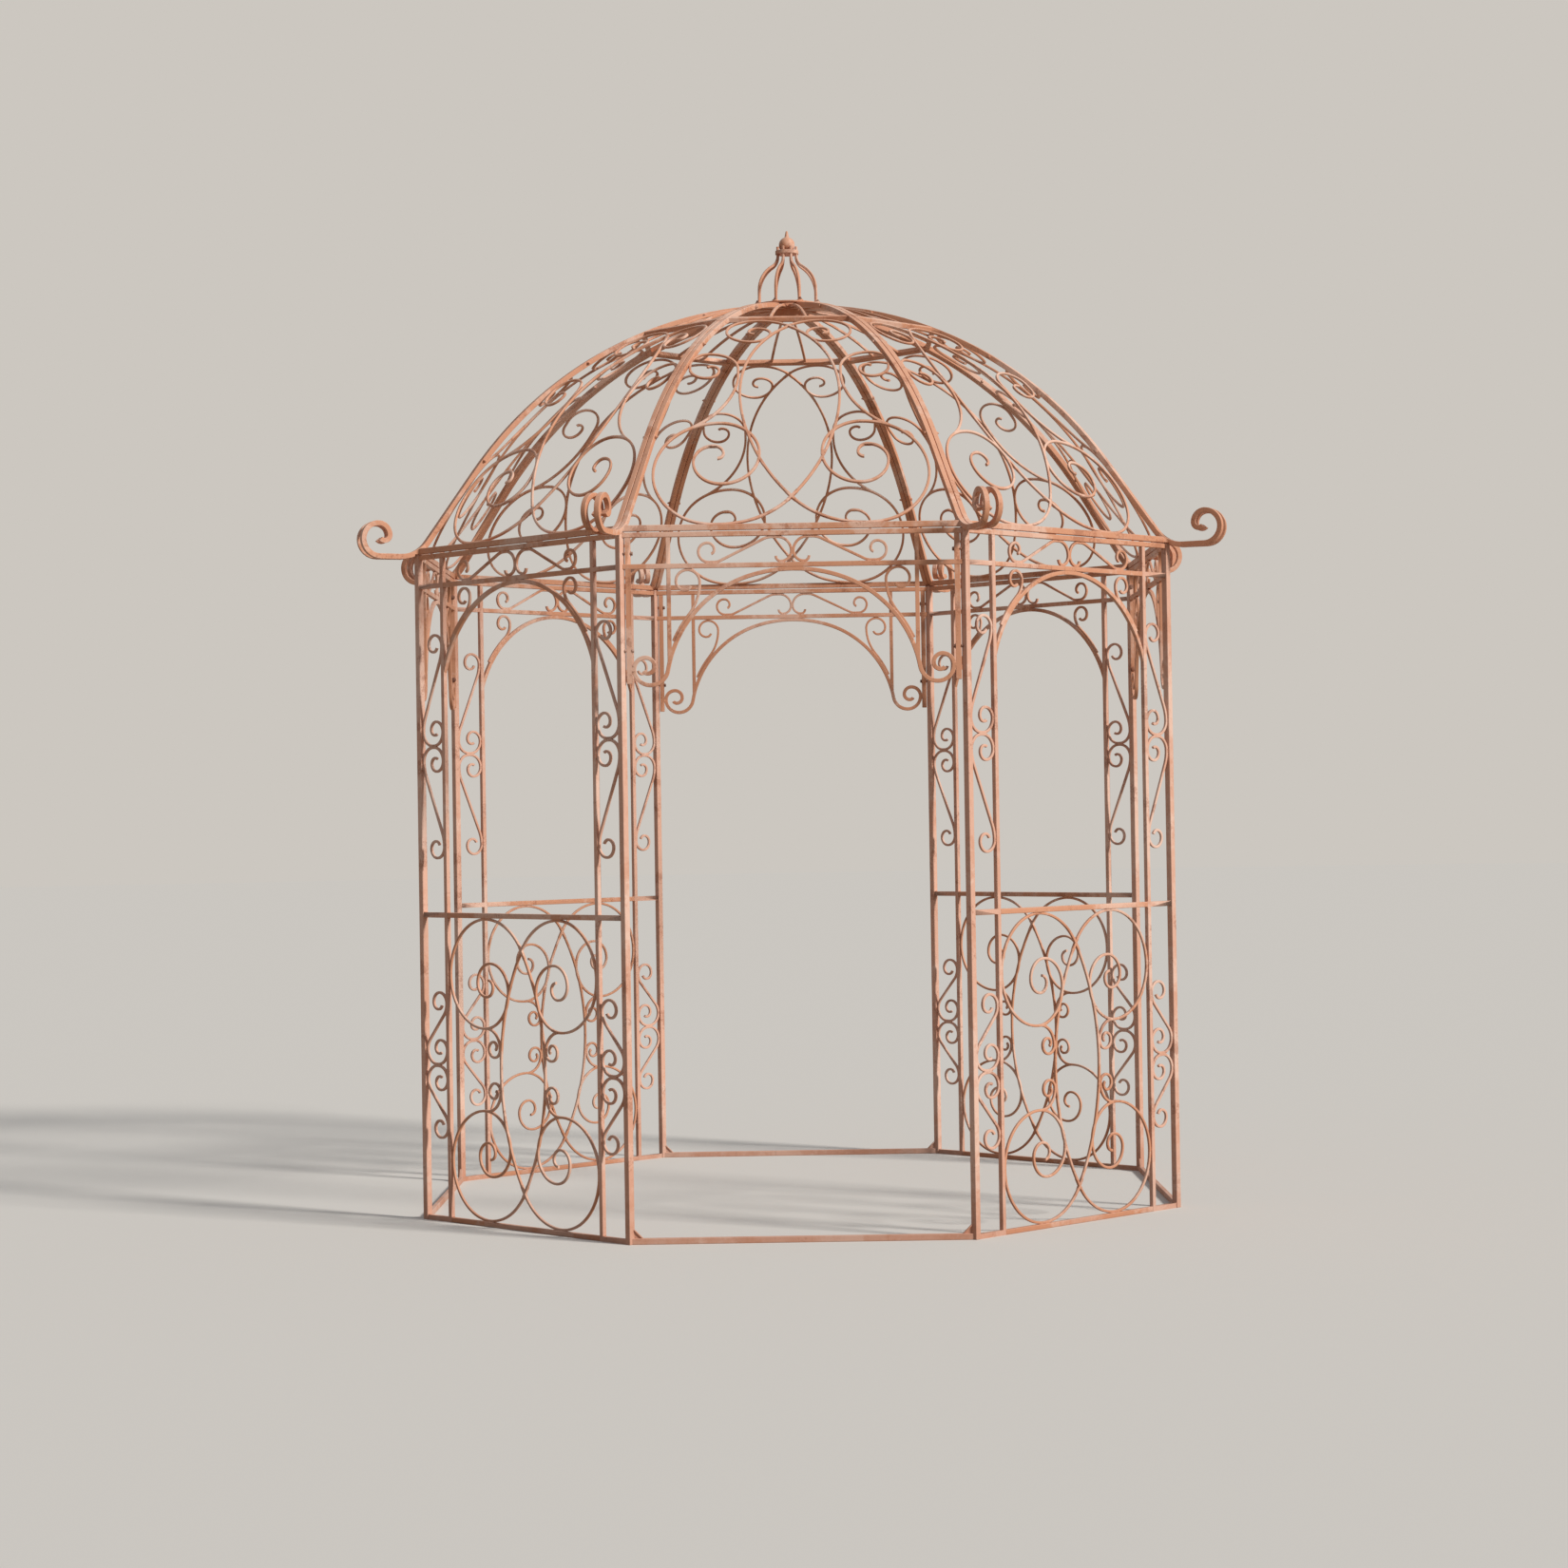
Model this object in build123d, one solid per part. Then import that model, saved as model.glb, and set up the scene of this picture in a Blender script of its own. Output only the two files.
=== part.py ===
from build123d import *
from math import asin, atan2, cos, degrees, radians, sin, sqrt
import os

# Garden gazebo on an eight-sided plan: four open sides on the axes, four scrolled panels between
# them and a dome of eight scrolled gores. Millimetres, origin on the ground under the dome's axis.
# Every wall is drawn in its own flat frame, X along the wall from its middle and Y up.

# Plan
open_side = 1000.0
corner_offset = 661.0
panel_side = corner_offset * sqrt(2)
open_reach = open_side / 2 + corner_offset
panel_reach = (open_side + corner_offset) / sqrt(2)

# Bar stock
post = 20.0
inner_post = 14.0
rail = 15.0
foot_rail = 18.0
arch_bar = 12.0
scroll_bar = 8.0
rib = 16.0

# Rounding along the edges of posts and rails, which are square tube
tube_round = 2.0

# How far bars of one piece run into each other where they are welded
weld = 1.0

# Heights: the dome stands on the posts, with a narrow gap over the walls' top rails
ring_z = 2062.0
top_rail_z = (2044.0, 2059.0)
frieze_z = (1953.0, 1967.0)
mid_rail_z = (935.0, 951.0)
arch_crown_z = 1948.0

# Places along a wall, from its middle
inner_post_x = panel_side / 2 - 118.0
inner_face = inner_post_x - inner_post / 2
bracket_x = (469.0, 485.0)
header_bar_x = 360.0

# Dome
rib_radius = 1356.0
rib_centre = (-28.7, 1537.2)
rib_foot_angle = 54.5
cross_rail_r = 505.0
hub_radius = 52.0
crown_radius = 100.0
hook_splay = 5.5


def edge_line(start, heading, moves, shift):
    """One edge of a bent bar, set off to the left of its centre line by the shift."""
    side = Vector(-sin(radians(heading)), cos(radians(heading)))
    point = Vector(*start) + side * shift
    edges = []
    for size, turn in moves:
        tangent = Vector(cos(radians(heading)), sin(radians(heading)))
        if turn:
            radius = size - shift if turn > 0 else size + shift
            edges.append(JernArc(start=point, tangent=tangent, radius=radius, arc_size=turn))
        else:
            edges.append(Line(point, point + tangent * size))
        point = edges[-1] @ 1
        heading += turn
    return edges


def bent_bar(width, start, heading, *moves):
    """A bar seen flat, by its runs: (length, 0) goes straight, (radius, degrees) bends, left positive."""
    left = edge_line(start, heading, moves, width / 2)
    right = edge_line(start, heading, moves, -width / 2)
    caps = [Line(left[0] @ 0, right[0] @ 0), Line(left[-1] @ 1, right[-1] @ 1)]
    face = make_face(left + right + caps)
    return face if face.face().normal_at().Z > 0 else -face


def strip(x0, x1, z0, z1):
    return Pos((x0 + x1) / 2, (z0 + z1) / 2) * Rectangle(x1 - x0, z1 - z0)


def upright(sketch, reach, depth):
    """Stands a wall drawing at its distance from the axis and gives it a thickness."""
    wall = Plane(origin=(0, -reach, 0), x_dir=(1, 0, 0), z_dir=(0, -1, 0))
    return extrude(wall * sketch, amount=depth / 2, both=True)


def level_tube(half_length, z0, z1, reach):
    """A square tube along a wall, as deep as its rail."""
    section = Plane.YZ * RectangleRounded(rail, z1 - z0, tube_round)
    return Pos(0, -reach, (z0 + z1) / 2) * extrude(section, amount=half_length, both=True)


def both_sides(sketch):
    return sketch + mirror(sketch, about=Plane.YZ)


def above_and_below(sketch):
    return sketch + mirror(sketch, about=Plane.XZ)


def joined(*shapes):
    """One solid from pieces that touch or cross."""
    whole = shapes[0]
    for shape in shapes[1:]:
        whole = whole + shape
    return whole


# Side strips of a panel: corner post, inner post and pairs of S scrolls between them
gap_low = inner_post_x + inner_post / 2
gap_high = panel_side / 2 - post / 2
scroll_low = gap_low + scroll_bar / 2 - weld
scroll_high = gap_high - scroll_bar / 2 + weld


def s_scroll(turn, radius):
    """S scroll whose lower curl rests on height zero, for a pair that touch foot to foot."""
    span = scroll_high - scroll_low
    run = (span - 2 * radius * (1 - cos(radians(turn)))) / sin(radians(turn))
    foot = (scroll_high - 53, scroll_bar / 2 - weld)
    upper = bent_bar(
        scroll_bar, foot, 0, (10, 0), (43, 90), (radius, turn), (run, 0), (radius, -turn),
        (34, -90), (29, -90), (23, -90), (18, -70),
    )
    lower_curl = bent_bar(
        scroll_bar, foot, 180, (span - 53, -90), (32, -90), (24, -90), (18, -90), (14, -40)
    )
    return upper + lower_curl


def scroll_pair(turn, radius, middle):
    return Pos(0, middle) * above_and_below(s_scroll(turn, radius))


def side_strip():
    corner = extrude(RectangleRounded(post, post, tube_round), amount=ring_z)
    corner = Pos(panel_side / 2, -panel_reach, 0) * corner
    inner = strip(gap_low - inner_post, gap_low, 0, top_rail_z[0])
    inner = upright(inner, panel_reach, inner_post)
    ties = strip(gap_low - weld, gap_high + weld, 0, rail)
    ties += strip(gap_low - weld, gap_high + weld, *mid_rail_z)
    ties += strip(gap_low - weld, gap_high + weld, *frieze_z)
    ties = upright(ties, panel_reach, inner_post)
    scrolls = scroll_pair(23.5, 110, 1463) + scroll_pair(42, 50, 480)
    scrolls = upright(scrolls, panel_reach, scroll_bar)
    return joined(corner, ties, inner, scrolls)


# Lower panel: two bars cross to a lens in the middle and curl into four big spirals
lens_width = 204.0
panel_middle = (rail + mid_rail_z[0]) / 2
loop_top = (mid_rail_z[0] - rail) / 2 - scroll_bar / 2 + weld
loop_shoulder = 194.0
loop_arcs = (172, 160, 114, 84, 60, 42, 30, 21)


def lens_lean(half_width, shoulder, top):
    """Lean from upright of the crossing bars that reaches this width between equal loops."""
    lean = 30.0
    for _ in range(20):
        half_height = top - shoulder * (1 - sin(radians(lean)))
        lean = 2 * degrees(atan2(half_width, half_height))
    return lean, half_height


def panel_scrolls():
    lean, half_height = lens_lean(lens_width / 2, loop_shoulder, loop_top)
    radius = half_height / sin(radians(lean))
    big = bent_bar(
        scroll_bar, (lens_width / 2, 0), 90, (radius, lean), (loop_shoulder, 90 - lean),
        *[(size, 90) for size in loop_arcs],
    )
    loop_foot = (
        loop_shoulder * cos(radians(lean)) + loop_arcs[0] - loop_arcs[1],
        loop_top - loop_arcs[0] - loop_arcs[1],
    )
    hook = bent_bar(
        scroll_bar, loop_foot, 180, (loop_foot[0] - 166, 0), (60, 90),
        (26, 90), (26, 90), (21, 90), (15, 90), (10, 60),
    )
    return above_and_below(both_sides(big)) + above_and_below(both_sides(hook))


def lower_panel():
    bars = upright(Pos(0, panel_middle) * panel_scrolls(), panel_reach, scroll_bar)
    rails = strip(-inner_face, inner_face, 0, rail)
    rails += strip(-inner_face, inner_face, *mid_rail_z)
    return joined(upright(rails, panel_reach, inner_post), bars)


# Frieze scrolls, the same in all eight headers
def frieze_scrolls():
    low = frieze_z[1] + scroll_bar / 2 - weld
    high = top_rail_z[0] - scroll_bar / 2 + weld
    slope = 26
    fall = high - low - (60 + 40) * (1 - cos(radians(slope)))
    left = bent_bar(
        scroll_bar, (scroll_bar / 2 - 52, low + 15), 270,
        (15, 90), (30, 90), (high - low - 30, 90), (14, 0), (60, slope),
        (fall / sin(radians(slope)), 0), (40, -slope), (16, 0),
        (30, -90), (26, -90), (20, -90), (13, -70),
    )
    return both_sides(left)


# Panel header: a round arch between the inner posts under the frieze
panel_arch = 364.0


def panel_header():
    centre_z = arch_crown_z - panel_arch
    outer = panel_arch + arch_bar / 2
    ring = Pos(0, centre_z) * (Circle(outer) - Circle(outer - arch_bar))
    arch = ring & strip(-inner_face, inner_face, centre_z + 60, ring_z)
    tail = panel_arch + (arch_bar + scroll_bar) / 2 - weld
    begin = radians(148)
    shoulder = bent_bar(
        scroll_bar, (tail * cos(begin), centre_z + tail * sin(begin)), 58,
        (tail, -18), (60, 50), (28, 90), (26, 90), (20, 90), (14, 60),
    )
    top = level_tube(gap_high, *top_rail_z, panel_reach)
    frieze = strip(-inner_face, inner_face, *frieze_z)
    frieze = upright(frieze, panel_reach, inner_post)
    scrolls = upright(both_sides(shoulder) + frieze_scrolls(), panel_reach, scroll_bar)
    return joined(top, scrolls, frieze, upright(arch, panel_reach, arch_bar))


def cut_to_posts(shape):
    """The corner posts stand an eighth turn round from an open side, so its ends are notched."""
    for x in (-open_side / 2, open_side / 2):
        shape = shape - Pos(x, -open_reach, ring_z) * Rot(0, 0, 45) * Box(post, post, 3 * ring_z)
    return shape


# Open side's header: brackets on the posts and a three-centred arch that ends in curls
crown_arc = 429.0
crown_turn = 17.5
haunch_arc = 345.0
haunch_turn = 62.5


def open_header():
    arch = bent_bar(
        arch_bar, (0, arch_crown_z), 180, (crown_arc, crown_turn), (haunch_arc, haunch_turn),
        (52, -80), (47, -90), (33, -90), (26, -90), (20, -90), (14, -60),
    )
    haunch_x = (haunch_arc - crown_arc) * sin(radians(crown_turn))
    haunch_z = arch_crown_z - crown_arc + (crown_arc - haunch_arc) * cos(radians(crown_turn))
    tail = haunch_arc + (arch_bar + scroll_bar) / 2 - weld
    begin = radians(156)
    shoulder = bent_bar(
        scroll_bar, (haunch_x + tail * cos(begin), haunch_z + tail * sin(begin)), 66,
        (tail, -14.5), (150, 38.5), (36, 90), (33, 90), (26, 90), (18, 70),
    )
    bars = strip(header_bar_x - arch_bar / 2, header_bar_x + arch_bar / 2, 1682, top_rail_z[0])
    bars += strip(*bracket_x, 1620, top_rail_z[0])
    top = level_tube(open_side / 2, *top_rail_z, open_reach)
    frieze = strip(-open_side / 2, open_side / 2, *frieze_z)
    frieze = upright(frieze, open_reach, inner_post)
    frame = upright(both_sides(bars) + both_sides(arch), open_reach, arch_bar)
    scrolls = upright(both_sides(shoulder) + frieze_scrolls(), open_reach, scroll_bar)
    return cut_to_posts(joined(top, frieze, frame, scrolls))


def threshold():
    return cut_to_posts(level_tube(open_side / 2, 0, 18, open_reach))


# Dome: each gore is a frame of two ribs that end in hooks, with a rail at foot and near the top
def rib_height(r):
    """Height of the ribs' centre line over the round stretch of the dome."""
    return rib_centre[1] + sqrt(rib_radius**2 - (r - rib_centre[0]) ** 2)


def rib_slope(r):
    return degrees(atan2(r - rib_centre[0], rib_height(r) - rib_centre[1]))


def rib_runs():
    """The ribs' bends from near the hub down the dome and out over the corner posts."""
    start = hub_radius - 20
    return (start, rib_height(start)), -rib_slope(start), [
        (rib_radius, rib_slope(start) - rib_foot_angle), (275, 0), (110, rib_foot_angle),
    ]


def rib_solid(azimuth, side):
    """A rib just beside its corner plane, on the clockwise side for -1, with its hook splayed."""
    start, heading, runs = rib_runs()
    bend_end = edge_line(start, heading, runs, 0)[-1] @ 1
    outline = bent_bar(rib, start, heading, *runs) - strip(1200, 1280, 2000, ring_z)
    hook = bent_bar(
        rib, (bend_end.X - 3, bend_end.Y), 0,
        (73, 0), (52, 90), (50, 90), (36, 90), (18, 90), (16, 50),
    )
    offset = side * (rib / 2 + 1)
    beside = Plane(origin=(0, offset, 0), x_dir=(1, 0, 0), z_dir=(0, -1, 0))
    bar = extrude(beside * outline, amount=rib / 2, both=True)
    hook = Pos(-bend_end.X, -offset, 0) * extrude(beside * hook, amount=rib / 2, both=True)
    hook = Pos(bend_end.X, offset, 0) * Rot(0, 0, side * hook_splay) * hook
    return Rot(0, 0, azimuth) * (bar + hook)


def cross_rail(half_angle, extra):
    middle = cross_rail_r * cos(radians(half_angle))
    half_length = cross_rail_r * sin(radians(half_angle)) + extra
    bar = Rot(rib_slope(cross_rail_r), 0, 0) * Box(2 * half_length, rib, rib)
    return Pos(0, -middle, rib_height(cross_rail_r)) * bar


def gore_skin(half_angle, half_side):
    """Thin skin across a gore that follows its ribs from the hub to the foot rail."""
    start, heading, runs = rib_runs()
    wall = Plane(origin=(0, 0, 0), x_dir=(1, 0, 0), z_dir=(0, -1, 0))
    band = Rot(0, 0, half_angle - 90) * (wall * bent_bar(scroll_bar, start, heading, *runs))
    return extrude(band, amount=2 * half_side, dir=(-1, 0, 0))


def top_stays(half_angle, half_side):
    """Two thin bars that spread from the hub to the cross rail, drawn in plan."""
    low, high = Vector(58, -cross_rail_r * cos(radians(half_angle))), Vector(5, -hub_radius)
    run = high - low
    stay = bent_bar(scroll_bar, low, degrees(atan2(run.Y, run.X)), (run.length + 8, 0))
    return extrude(both_sides(stay), amount=3000) & gore_skin(half_angle, half_side)


def roof_frame(half_side, reach):
    half_angle = degrees(atan2(half_side, reach))
    right = rib_solid(half_angle - 90, -1)
    left = rib_solid(-half_angle - 90, 1)
    foot = level_tube(half_side - 12, ring_z, ring_z + foot_rail, reach)
    stays = top_stays(half_angle, half_side)
    frame = joined(foot, right, left, cross_rail(half_angle, -10), stays)
    return frame - Cylinder(hub_radius, 6000)


# Gore scrolls, drawn flat on the chord from the foot rail to the cross rail
gore_low = 12.0
gore_high = 976.0
gore_top_arcs = (92, 75, 60, 40, 27, 18)
gore_foot_arcs = (187, 195, 118, 113, 82, 60, 29, 18)


def gore_drawing(size, lens):
    """Two crossing bars with a lens between small top spirals and big foot spirals."""
    top_arc = 130 * size
    foot_arc = 286 * size
    lean = 38.0
    for _ in range(20):
        rise = 1 - sin(radians(lean))
        half_height = (gore_high - gore_low - (top_arc + foot_arc) * rise) / 2
        lean = 2 * degrees(atan2(lens / 2, half_height))
    radius = half_height / sin(radians(lean))
    middle = gore_low + foot_arc * rise + half_height
    start = (lens / 2, middle)
    upper = bent_bar(
        scroll_bar, start, 90, (radius, lean), (top_arc, 90 - lean),
        *[(arc * size, 90) for arc in gore_top_arcs],
    )
    lower = bent_bar(
        scroll_bar, start, 270, (radius, -lean), (foot_arc, lean - 90),
        *[(arc * size, -90) for arc in gore_foot_arcs],
    )
    loop_x = foot_arc * cos(radians(lean)) + (gore_foot_arcs[0] - gore_foot_arcs[1]) * size
    loop_z = gore_low + gore_foot_arcs[0] * size
    leave = 62
    climb = (loop_x + gore_foot_arcs[1] * size * cos(radians(leave)) - lens / 2 - 5)
    climb = climb / (1 - sin(radians(90 + leave)))
    hook = bent_bar(
        scroll_bar,
        (
            loop_x + gore_foot_arcs[1] * size * cos(radians(leave)),
            loop_z + gore_foot_arcs[1] * size * sin(radians(leave)),
        ),
        90 + leave, (climb, -leave), (28, 0), (88 * size, -90), (58 * size, -90), (25, 0),
        (50 * size, -90), (38 * size, -90), (24 * size, -90), (14, -50),
    )
    return both_sides(upper + lower) + both_sides(hook)


def roof_scrollwork(half_side, reach, size, lens):
    """The drawing pushed through a thin skin that follows the ribs, so it bends with the dome."""
    half_angle = degrees(atan2(half_side, reach))
    low = Vector(0, -reach, ring_z + foot_rail - rail / 2)
    high_reach = cross_rail_r * cos(radians(half_angle))
    high = Vector(0, -high_reach, rib_height(cross_rail_r))
    rise = (high - low).normalized()
    chord = Plane(origin=low, x_dir=(1, 0, 0), z_dir=Vector(1, 0, 0).cross(rise))
    bars = extrude(chord * gore_drawing(size, lens), amount=160, both=True)
    bent = bars & gore_skin(half_angle, half_side)
    foot = upright(strip(-half_side, half_side, ring_z, ring_z + foot_rail), reach, rail)
    sides = [
        Rot(0, 0, turn - 90) * Pos(0, side * 500, 2000) * Box(6000, 1000 + 2 * (rib + 1), 4000)
        for turn, side in ((half_angle, 1), (-half_angle, -1))
    ]
    return bent - foot - cross_rail(half_angle, 0) - sides[0] - sides[1]


# Hub and crown
standing = (Align.CENTER, Align.CENTER, Align.MIN)
crown_seat = rib_height(crown_radius - 14) + rib / 2 / cos(radians(rib_slope(crown_radius - 14)))


def hub():
    """Open tube that the ribs are bolted round, with a lid."""
    tube = Cylinder(hub_radius, 46, align=standing) - Cylinder(hub_radius - 5, 40, align=standing)
    return Pos(0, 0, crown_seat - 36) * tube


def crown():
    """Eight bent bars on a flat ring that draw together under a ball."""
    bar = bent_bar(
        scroll_bar, (crown_radius, crown_seat + 4), 90, (46, 0), (95, 60), (40, -60), (30, 0)
    )
    wall = Plane(origin=(0, 0, 0), x_dir=(1, 0, 0), z_dir=(0, -1, 0))
    bar = extrude(wall * bar, amount=scroll_bar / 2, both=True)
    foot = Pos(crown_radius, 0, crown_seat + 5) * Box(24, 16, 5, align=standing)
    bars = [Rot(0, 0, 22.5 + 45 * k) * (bar + foot) for k in range(8)]
    ring = Cylinder(crown_radius + 12, 6, align=standing)
    ring = Pos(0, 0, crown_seat) * (ring - Cylinder(crown_radius - 12, 6, align=standing))
    collar = Pos(0, 0, 3075) * Cylinder(38, 12)
    ball = Pos(0, 0, 3100) * Sphere(26)
    tip = Pos(0, 0, 3122) * Cone(8, 3, 24, align=standing)
    return joined(ring, *bars, collar, ball, tip)


# Every piece is made once and turned to its places
open_sides = {"front": 0, "right": 90, "back": 180, "left": 270}
panel_sides = {"front_right": 45, "back_right": 135, "back_left": 225, "front_left": 315}

os.makedirs("parts", exist_ok=True)


def save(name, shape, turn=0):
    export_step(Rot(0, 0, turn) * shape, f"parts/{name}.step")


right_strip = side_strip()
left_strip = mirror(right_strip, about=Plane.YZ)
panel = lower_panel()
header = panel_header()
doorway = open_header()
sill = threshold()
open_roof = roof_frame(open_side / 2, open_reach)
panel_roof = roof_frame(panel_side / 2, panel_reach)
open_scrolls = roof_scrollwork(open_side / 2, open_reach, 1.0, 299)
panel_gore_scrolls = roof_scrollwork(panel_side / 2, panel_reach, 0.93, 278)

for side, turn in panel_sides.items():
    save(f"{side}_left_strip", left_strip, turn)
    save(f"{side}_right_strip", right_strip, turn)
    save(f"{side}_scroll_panel", panel, turn)
    save(f"{side}_header", header, turn)
    save(f"{side}_roof_frame", panel_roof, turn)
    save(f"{side}_roof_scrollwork", panel_gore_scrolls, turn)
for side, turn in open_sides.items():
    save(f"{side}_header", doorway, turn)
    save(f"{side}_threshold", sill, turn)
    save(f"{side}_roof_frame", open_roof, turn)
    save(f"{side}_roof_scrollwork", open_scrolls, turn)
save("hub", hub())
save("crown", crown())
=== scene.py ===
from math import atan2, cos, pi, radians, sin

import bmesh
import bpy
from mathutils import Matrix, Vector
from mathutils.bvhtree import BVHTree


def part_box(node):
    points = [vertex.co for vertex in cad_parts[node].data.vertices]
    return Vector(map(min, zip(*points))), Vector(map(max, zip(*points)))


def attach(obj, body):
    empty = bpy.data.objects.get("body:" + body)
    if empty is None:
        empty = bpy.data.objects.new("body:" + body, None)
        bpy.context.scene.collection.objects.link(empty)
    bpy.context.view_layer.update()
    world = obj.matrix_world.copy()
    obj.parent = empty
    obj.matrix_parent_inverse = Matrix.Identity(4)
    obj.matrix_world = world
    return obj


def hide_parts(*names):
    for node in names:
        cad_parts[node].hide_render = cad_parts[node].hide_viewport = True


bl_info = {
    "name": "Iron Garden Gazebo",
    "version": (1, 0, 0),
    "blender": (4, 5, 0),
    "location": "View3D > Sidebar > Gazebo",
    "description": "Finishes an eight-sided iron gazebo: weathered coat, bolts, welds and stage",
    "category": "Add Mesh",
}

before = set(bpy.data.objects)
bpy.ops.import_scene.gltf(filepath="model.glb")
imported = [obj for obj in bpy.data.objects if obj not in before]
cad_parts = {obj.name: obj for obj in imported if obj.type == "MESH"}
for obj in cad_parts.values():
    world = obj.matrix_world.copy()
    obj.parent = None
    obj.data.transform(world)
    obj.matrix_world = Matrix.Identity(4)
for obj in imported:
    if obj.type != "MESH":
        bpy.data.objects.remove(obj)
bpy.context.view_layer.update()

# Plan and heights read from the frame, in metres. An open side is one metre from corner to corner.
sill_low, sill_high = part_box("front_threshold")
crown_low, crown_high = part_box("crown")
open_reach = -(sill_low[1] + sill_high[1]) / 2
sill_top = sill_high[2]
half_open = 0.5
corner_offset = open_reach - half_open
panel_reach = (2 * half_open + corner_offset) / 2**0.5
corner_angle = atan2(half_open, open_reach)

# Where the open sides and the panels stand round the gazebo, in degrees from the front
open_turns = (0, 90, 180, 270)
panel_turns = (45, 135, 225, 315)


def srgb(red, green, blue):
    """A colour as a picture shows it, 0 to 255, for a linear socket."""

    def linear(level):
        level = level / 255
        return level / 12.92 if level <= 0.04045 else ((level + 0.055) / 1.055) ** 2.4

    return linear(red), linear(green), linear(blue), 1.0


def colour_property(name, description, red, green, blue):
    return bpy.props.FloatVectorProperty(
        name=name,
        description=description,
        subtype="COLOR",
        size=4,
        min=0,
        max=1,
        default=srgb(red, green, blue),
    )


def length_property(name, description, metres):
    return bpy.props.FloatProperty(
        name=name, description=description, default=metres, unit="LENGTH"
    )


# Settings that a user would change


class GazeboCoat(bpy.types.PropertyGroup):
    posts: colour_property("Posts", "Sound oxide primer on the posts", 221, 174, 152)
    # Darker and warmer than the posts: a warmer primer, and partly a painted shade over the
    # headers, dome and scrolls
    dome: colour_property("Dome", "Warmer primer on the headers, dome and scrolls", 211, 151, 118)
    # Bloom is faded primer, and also the colour of the painted sky light on the faces that look up
    # and of the painted highlight on edges
    bloom_and_highlight: colour_property("Bloom", "Chalky primer where sun and rain have faded it", 236, 206, 190)
    warm: colour_property("Warm", "Thin primer with the iron showing through", 203, 141, 111)
    rust: colour_property("Rust", "Rust that has come through", 152, 90, 62)
    stain: colour_property("Stain", "Dark brown in pits and run marks", 92, 54, 38)
    bolt: colour_property("Bolts", "Bolts and nuts, browner than the bars", 118, 78, 62)


class GazeboBars(bpy.types.PropertyGroup):
    tube_edge: length_property("Tube edge", "Rounding of tube edges", 0.0014)
    bar_edge: length_property("Bar edge", "Rounding of scroll bar edges", 0.0019)
    weld: length_property("Weld bead", "Radius of a weld bead", 0.0024)


class GazeboFixings(bpy.types.PropertyGroup):
    rib_bolt: length_property("Rib bolt", "Radius of a rib bolt's head", 0.0048)
    bracket_bolt: length_property("Bracket bolt", "Radius of a bracket bolt's head", 0.0062)
    crown_nut: length_property("Crown nut", "Radius of a nut on the crown", 0.005)
    brace: length_property("Corner brace", "Legs of the braces on the thresholds", 0.024)


class GazeboStage(bpy.types.PropertyGroup):
    floor: colour_property("Floor", "Floor round the gazebo", 228, 225, 220)
    bounce: colour_property("Bounce", "Ground as it colours the light from below", 158, 143, 126)
    backdrop: colour_property("Backdrop", "What shows behind the gazebo", 204, 199, 192)
    key: bpy.props.FloatProperty(name="Key", description="Strength of the sun lamp", default=3.2)
    fill: bpy.props.FloatProperty(name="Fill", description="Strength of the sky", default=0.28)
    lens: bpy.props.FloatProperty(
        name="Lens", description="Focal length in millimetres on a 36 mm frame", default=71.54
    )
    distance: length_property("Distance", "From the middle of the gazebo to the camera", 10.178)
    eye: length_property("Eye height", "Height of the camera", 1.224)


# Shader building blocks


def new_group(name, inputs, outputs):
    """A node group with plain number sockets, and its two ends."""
    group = bpy.data.node_groups.new(name, "ShaderNodeTree")
    for label, value in inputs:
        socket = group.interface.new_socket(label, in_out="INPUT", socket_type="NodeSocketFloat")
        socket.default_value = value
    for label in outputs:
        group.interface.new_socket(label, in_out="OUTPUT", socket_type="NodeSocketFloat")
    return group, group.nodes.new("NodeGroupInput"), group.nodes.new("NodeGroupOutput")


def feed(tree, socket, value):
    """Links a socket, or sets it where the value is a plain number or colour."""
    if isinstance(value, bpy.types.NodeSocket):
        tree.links.new(value, socket)
    else:
        socket.default_value = value


def add_math(tree, kind, first, second):
    node = tree.nodes.new("ShaderNodeMath")
    node.operation = kind
    feed(tree, node.inputs[0], first)
    feed(tree, node.inputs[1], second)
    return node.outputs[0]


def add_noise(tree, place, scale, detail, roughness):
    node = tree.nodes.new("ShaderNodeTexNoise")
    node.inputs["Detail"].default_value = detail
    node.inputs["Roughness"].default_value = roughness
    feed(tree, node.inputs["Scale"], scale)
    tree.links.new(place, node.inputs["Vector"])
    return node.outputs["Fac"]


def add_range(tree, value, low, high):
    """Spreads the stretch of a value between low and high over 0 to 1."""
    node = tree.nodes.new("ShaderNodeMapRange")
    node.interpolation_type = "SMOOTHSTEP"
    feed(tree, node.inputs["Value"], value)
    feed(tree, node.inputs["From Min"], low)
    feed(tree, node.inputs["From Max"], high)
    return node.outputs["Result"]


def add_cover(tree, noise, cover, bare, spread, rim):
    """White where the noise is over an edge, which sinks from bare by spread as cover grows."""
    edge = add_math(tree, "SUBTRACT", bare, add_math(tree, "MULTIPLY", cover, spread))
    return add_range(tree, noise, edge, add_math(tree, "ADD", edge, rim))


def add_height(tree, vector):
    """The Z of a place or of a normal."""
    split = tree.nodes.new("ShaderNodeSeparateXYZ")
    tree.links.new(vector, split.inputs[0])
    return split.outputs["Z"]


def colour_socket(sockets, name):
    """A Mix node has a socket of each name for every kind of value: the one for colours."""
    return next(socket for socket in sockets if socket.name == name and socket.type == "RGBA")


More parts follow.
